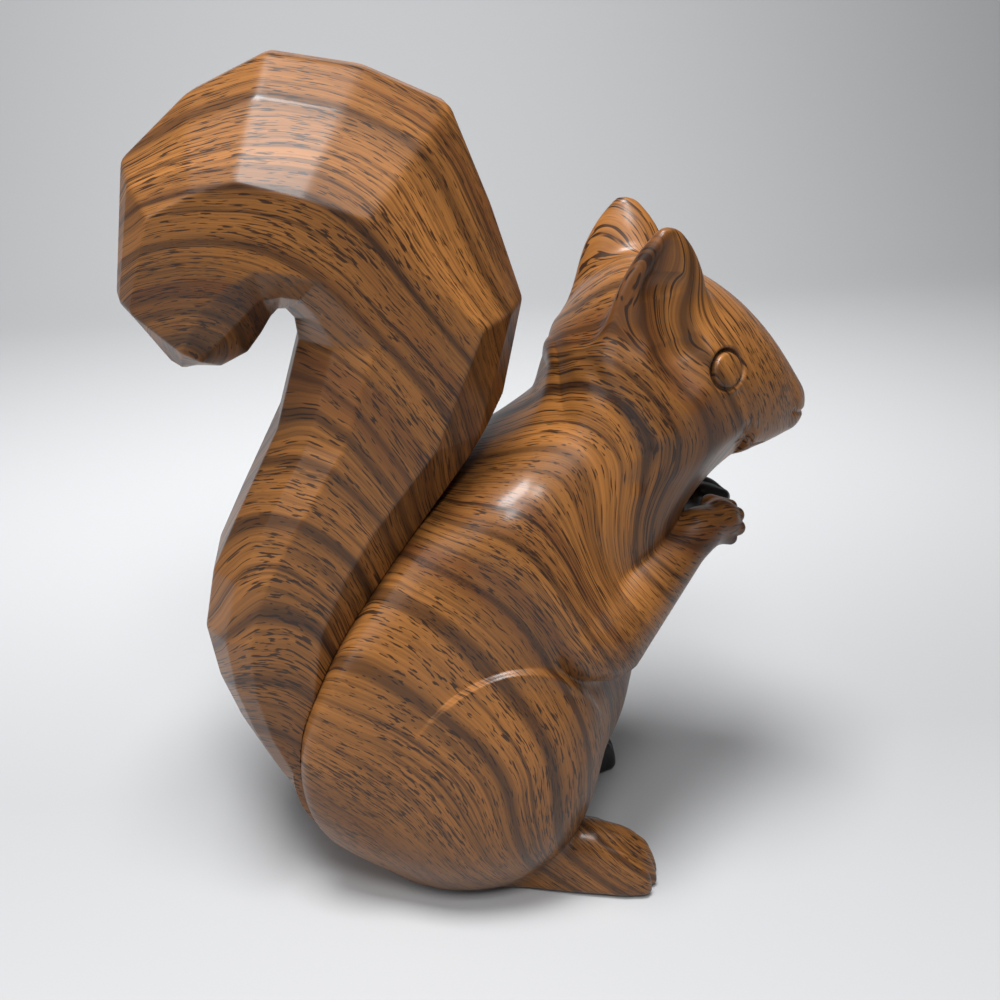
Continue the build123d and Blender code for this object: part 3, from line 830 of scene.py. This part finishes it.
def cut_piece(points, faces, chosen):
    """The chosen faces as a mesh of their own, a fan across each cut, and each point's old number."""
    kept = [faces[i] for i in np.where(chosen)[0]]
    old = np.unique(np.concatenate([np.array(f) for f in kept]))
    new = {int(v): k for k, v in enumerate(old)}
    kept = [[new[int(v)] for v in f] for f in kept]
    edges = {(f[i - 1], f[i]) for f in kept for i in range(len(f))}
    open_edges = [(a, b) for a, b in edges if (b, a) not in edges]
    group = {v: v for edge in open_edges for v in edge}

    def root(v):
        while group[v] != v:
            group[v] = group[group[v]]
            v = group[v]
        return v

    for a, b in open_edges:
        group[root(a)] = root(b)
    rims = {}
    for v in group:
        rims.setdefault(root(v), []).append(v)
    places = points[old]
    hubs = {key: len(old) + k for k, key in enumerate(sorted(rims))}
    middles = [places[rims[key]].mean(0) for key in sorted(rims)]
    fans = [[b, a, hubs[root(a)]] for a, b in sorted(open_edges)]
    return np.vstack([places] + middles) if middles else places, kept, fans, old


def tail_mesh(step):
    """Rings of flat facets from root to tip, spread into an even grid of points; tail_points softens their
    edges.
    """
    rings = []
    for outer, ridge, inner, half in TAIL:
        outer, ridge, inner = (np.array(q, float) for q in (outer, ridge, inner))
        places = [(inner + (ridge - inner) * t, share) for t, share in TAIL_INNER_CORNERS]
        places += [(ridge + (outer - ridge) * t, share) for t, share in TAIL_OUTER_CORNERS]
        side = [(x, half * share, z) for (x, z), share in places]
        rings.append(side + [(x, -y, z) for x, y, z in reversed(side)])
    rings = np.array(rings)
    spans = np.linalg.norm(np.diff(rings, axis=0), axis=2).mean(1)
    rows = np.concatenate([[0], np.cumsum(spans)])
    row_at = np.linspace(0, rows[-1], int(rows[-1] / step))
    closed = np.concatenate([rings, rings[:, :1]], 1)
    widths = np.linalg.norm(np.diff(closed, axis=1), axis=2).max(0)
    columns = np.concatenate([[0], np.cumsum(widths)])
    column_at = np.linspace(0, columns[-1], int(columns[-1] / step), endpoint=False)
    dense = np.stack([
        [np.interp(row_at, rows, closed[:, j, k]) for k in range(3)] for j in range(closed.shape[1])
    ])
    grid = np.stack([
        [np.interp(column_at, columns, dense[:, k, i]) for k in range(3)] for i in range(len(row_at))
    ]).transpose(0, 2, 1)
    return grid


def soften(grid, rounds):
    """Averages a closed-round grid with its neighbours, leaving the end rings in place."""
    for _ in range(rounds):
        grid = 0.5 * grid + 0.25 * (np.roll(grid, 1, 1) + np.roll(grid, -1, 1))
        inner = 0.5 * grid[1:-1] + 0.25 * (grid[:-2] + grid[2:])
        grid = np.concatenate([grid[:1], inner, grid[-1:]])
    return grid


def tail_points(step):
    """The tail's softened rings, held behind the seam."""
    grid = soften(tail_mesh(step), int(round((TAIL_EDGE / step) ** 2)))
    behind = seam_distance(grid.reshape(-1, 3)).reshape(grid.shape[:2]) - SEAM_GAP
    grid[:, :, 0] += np.where(behind < 0, behind * 1.25, 0)
    return grid


def tube_faces(rows, columns):
    i, j = np.meshgrid(np.arange(rows - 1), np.arange(columns), indexing="ij")
    k = (j + 1) % columns
    quads = np.stack([i * columns + j, i * columns + k, (i + 1) * columns + k, (i + 1) * columns + j], -1)
    return quads.reshape(-1, 4)


def mesh_normals(mesh):
    normals = np.zeros(len(mesh.vertices) * 3, np.float32)
    mesh.vertex_normals.foreach_get("vector", normals)
    return normals.reshape(-1, 3).astype(float)


class SquirrelSizes(bpy.types.PropertyGroup):
    mesh_step: bpy.props.FloatProperty(
        name="Mesh step", description="Spacing of the points on the skins", default=0.0007, unit="LENGTH",
        precision=5)


def colour_property(name, description, code):
    return bpy.props.FloatVectorProperty(
        name=name, description=description, default=linear(code), subtype="COLOR", min=0, max=1)


class SquirrelColours(bpy.types.PropertyGroup):
    mid: colour_property("Print, middle", "Main brown of the printed film", "8B5A2A")
    light: colour_property("Print, light", "Lighter tan between stripes", "A06832")
    dark: colour_property("Print, dark", "Darker brown stripes", "6E421F")
    line: colour_property("Print, lines", "Dark growth lines", "2B180E")
    pore: colour_property("Print, pores", "Short dark pore marks", "25140B")
    # Near black, used both for the dark base coat and for painted shade
    bare: colour_property("Dark coat and painted shade", "Base coat where the film does not reach", "0E0B0A")
    resin: colour_property("Resin", "Bare resin of the base plate", "3B332D")
    dowel: colour_property("Dowel", "Beech of the hidden dowels", "C49A6C")
    felt: colour_property("Felt", "Felt of the pads", "24211F")
    floor: colour_property("Floor", "Studio floor and backdrop", "BFC0C2")


def palette(context):
    colours = context.scene.squirrel_colours
    return {name: tuple(getattr(colours, name)) for name in SquirrelColours.__annotations__}


def coat_and_painted_shade_share(points, normals):
    """Where near black shows, partly the dark base coat and partly painted shade: insides of paws and feet,
    the left paw and toes, and grooves and the eye ring.
    """
    q = np.stack([points[:, 0], np.abs(points[:, 1]), points[:, 2]], 1)
    inward = -np.sign(points[:, 1]) * normals[:, 1]
    left = points[:, 1] > 0
    ahead, _ = foot_place(q)
    # The paws' and feet's inner sides and the far paw and toes go near black: partly the dark base coat,
    # partly painted shade between them
    paw = np.clip((q[:, 0] - 57) / 4, 0, 1) * (q[:, 2] < 127)
    paw *= np.where(left, 1, np.clip((inward - 0.15) / 0.25, 0, 1))
    foot = np.clip((ahead - 24) / 6, 0, 1) * (q[:, 2] < 26)
    foot *= np.where(left, 1, np.clip((inward - 0.1) / 0.3, 0, 1))
    # Painted shade: grooves and the eye ring darken with their depth
    sunk = np.clip((-eye_relief(q) - 0.4) / 0.8, 0, 0.8)
    sunk += np.clip((-groove_relief(q, 0.85) - 0.3) / 0.5, 0, 0.8)
    return np.clip(np.max([paw, foot, sunk], axis=0), 0, 1)


class SQUIRREL_OT_body(bpy.types.Operator):
    """Builds torso, head, ears, eyes, forelegs and hind feet, from one form cut at the joints"""

    bl_idname = "squirrel.body"
    bl_label = "Build body"

    def execute(self, context):
        step = context.scene.squirrel_sizes.mesh_step / MM * 1
        points, faces = body_mesh(step)
        normals = smooth_normals(points, faces)
        across, along_grain, gap, depth = grain_field(points, normals, BODY_GRAIN, BODY_BANDS, GRAIN_LEAN)
        # bare holds the near-black share: the dark base coat and painted shade
        bare = coat_and_painted_shade_share(points, normals)
        film = film_material("Wood film on resin, body", palette(context))
        piece = body_piece(np.array([points[f].mean(0) for f in faces]))
        for name in sorted(set(piece)):
            places, kept, fans, old = cut_piece(points, faces, piece == name)
            hubs = len(places) - len(old)
            directions = np.vstack([normals[old], np.zeros((hubs, 3))])
            thing = make_object(f"{name}_skin", places, kept, film, fans, directions)
            columns = [
                np.concatenate([c[old], np.full(hubs, c[old].mean())])
                for c in (across, along_grain, bare, gap, depth)
            ]
            store_print(thing.data, *columns)
            seat(thing, ["torso_shell" if name == "torso" else name])
        return {"FINISHED"}


class SQUIRREL_OT_tail(bpy.types.Operator):
    """Builds the faceted tail skin"""

    bl_idname = "squirrel.tail"
    bl_label = "Build tail"

    def execute(self, context):
        step = context.scene.squirrel_sizes.mesh_step / MM * 1
        grid = tail_points(step)
        rows, columns = grid.shape[:2]
        points = grid.reshape(-1, 3)
        faces = tube_faces(rows, columns).tolist()
        points = np.vstack([points, grid[0].mean(0), grid[-1].mean(0)])
        first, last = len(points) - 2, len(points) - 1
        faces += [[(j + 1) % columns, j, first] for j in range(columns)]
        top = (rows - 1) * columns
        faces += [[top + j, top + (j + 1) % columns, last] for j in range(columns)]
        film = film_material("Wood film on resin, tail", palette(context))
        tail = make_object("tail_skin", points, faces, film)
        normals = mesh_normals(tail.data)
        across, along_grain, gap, depth = grain_field(points, normals, TAIL_GRAIN, TAIL_BANDS, GRAIN_LEAN)
        store_print(tail.data, across, along_grain, np.zeros(len(points)), gap, depth)
        seat(tail, ["tail_shell"])
        return {"FINISHED"}


class SQUIRREL_OT_hidden(bpy.types.Operator):
    """Gives the dowels, base plate and felt pads their materials"""

    bl_idname = "squirrel.hidden"
    bl_label = "Dress hidden pieces"

    def execute(self, context):
        colours = palette(context)
        # Turned beech: pale and dull, with a small unevenness of tone
        beech = plain_material("Beech, turned dowel", colours["dowel"], 1.2, 0.6, 0.25)
        # Resin as it leaves the mould: dark, half matt, faintly mottled
        resin = plain_material("Cast resin, bare", colours["resin"], 0.8, 0.55, 0.2)
        # Pressed wool: almost black, with no shine and a fine nap
        felt = plain_material("Wool felt, pressed", colours["felt"], 0.5, 0.95, 0.4)
        for node, material in (
            ("neck_dowel", beech), ("tail_dowels", beech), ("base_plate", resin), ("felt_pads", felt),
        ):
            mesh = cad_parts[node].data
            mesh.materials.clear()
            mesh.materials.append(material)
        return {"FINISHED"}


class SQUIRREL_OT_stage(bpy.types.Operator):
    """Sets the floor, lights and camera"""

    bl_idname = "squirrel.stage"
    bl_label = "Set the stage"

    def execute(self, context):
        scene = context.scene
        colours = palette(context)
        self.floor(colours["floor"])
        self.lamps(scene)
        self.camera(scene)
        scene.view_settings.view_transform = "Standard"
        return {"FINISHED"}

    def floor(self, colour):
        """A pale floor that sweeps up into a backdrop."""
        profile = [(FLOOR_FRONT, 0)]
        for turn in np.linspace(0, math.pi / 2, 16):
            y = SWEEP_START + SWEEP_RADIUS * math.sin(turn)
            profile.append((y, SWEEP_RADIUS - SWEEP_RADIUS * math.cos(turn)))
        profile.append((SWEEP_START + SWEEP_RADIUS, BACKDROP_TOP))
        points = [(x, y, z) for y, z in profile for x in (-FLOOR_HALF_WIDTH, FLOOR_HALF_WIDTH)]
        points = np.array(points, float)
        faces = [[2 * i, 2 * i + 1, 2 * i + 3, 2 * i + 2] for i in range(len(profile) - 1)]
        # Uncoated paper: pale and matt, so that it holds only the soft shadow
        material, tree, surface = start_material("Paper backdrop")
        rays = add(tree, "ShaderNodeLightPath").outputs
        seen = rays["Is Camera Ray"]
        for kind in ("Is Glossy Ray", "Is Transmission Ray"):
            seen = add(tree, "ShaderNodeMath", {0: seen, 1: rays[kind]}, operation="MAXIMUM").outputs[0]
        bounce = tuple(c * FLOOR_BOUNCE for c in colour)
        paper = add(tree, "ShaderNodeMix", {0: seen, 6: (*bounce, 1), 7: (*colour, 1)}, data_type="RGBA")
        tree.links.new(paper.outputs[2], surface.inputs["Base Color"])
        surface.inputs["Roughness"].default_value = 0.8
        floor = make_object("floor", points, faces, material)

    def lamps(self, scene):
        for name, place, aim, size, power in LAMPS:
            lamp = bpy.data.lights.new(name, "AREA")
            lamp.energy = power
            lamp.size = size * MM
            thing = bpy.data.objects.new(name, lamp)
            thing.location = Vector(place) * MM
            thing.rotation_euler = (Vector(aim) - Vector(place)).to_track_quat("-Z", "Y").to_euler()
            scene.collection.objects.link(thing)
        world = bpy.data.worlds.new("Studio")
        world.use_nodes = True
        background = world.node_tree.nodes["Background"]
        background.inputs["Color"].default_value = (*linear("EDEFF2"), 1)
        background.inputs["Strength"].default_value = WORLD_STRENGTH
        scene.world = world

    def camera(self, scene):
        heading = Vector(CAMERA_HEADING).normalized()
        level = Vector((heading.y, -heading.x, 0))
        forward = heading * math.cos(CAMERA_PITCH) - Vector((0, 0, math.sin(CAMERA_PITCH)))
        upright = level.cross(forward)
        c, s = math.cos(CAMERA_ROLL), math.sin(CAMERA_ROLL)
        right = level * c - upright * s
        up = level * s + upright * c
        data = bpy.data.cameras.new("camera")
        data.lens = CAMERA_LENS
        data.sensor_width = 36
        data.clip_start = 0.01
        thing = bpy.data.objects.new("camera", data)
        turn = Matrix((right, up, -forward)).transposed().to_4x4()
        thing.matrix_world = Matrix.Translation(Vector(CAMERA_PLACE) * MM) @ turn
        scene.collection.objects.link(thing)
        scene.camera = thing


class SQUIRREL_PT_panel(bpy.types.Panel):
    """Lists the building steps"""

    bl_idname = "SQUIRREL_PT_panel"
    bl_label = "Squirrel ornament"
    bl_space_type = "VIEW_3D"
    bl_region_type = "UI"
    bl_category = "Squirrel"

    def draw(self, context):
        for group in (context.scene.squirrel_sizes, context.scene.squirrel_colours):
            for name in type(group).__annotations__:
                self.layout.prop(group, name)
        for operator in OPERATORS:
            self.layout.operator(operator.bl_idname)


OPERATORS = (SQUIRREL_OT_body, SQUIRREL_OT_tail, SQUIRREL_OT_hidden, SQUIRREL_OT_stage)
CLASSES = (SquirrelSizes, SquirrelColours, *OPERATORS, SQUIRREL_PT_panel)


def register():
    for cls in CLASSES:
        bpy.utils.register_class(cls)
    bpy.types.Scene.squirrel_sizes = bpy.props.PointerProperty(type=SquirrelSizes)
    bpy.types.Scene.squirrel_colours = bpy.props.PointerProperty(type=SquirrelColours)


def unregister():
    del bpy.types.Scene.squirrel_colours
    del bpy.types.Scene.squirrel_sizes
    for cls in reversed(CLASSES):
        bpy.utils.unregister_class(cls)


def main():
    register()
    bpy.ops.squirrel.body()
    bpy.ops.squirrel.tail()
    bpy.ops.squirrel.hidden()
    bpy.ops.squirrel.stage()


if __name__ == "__main__":
    main()
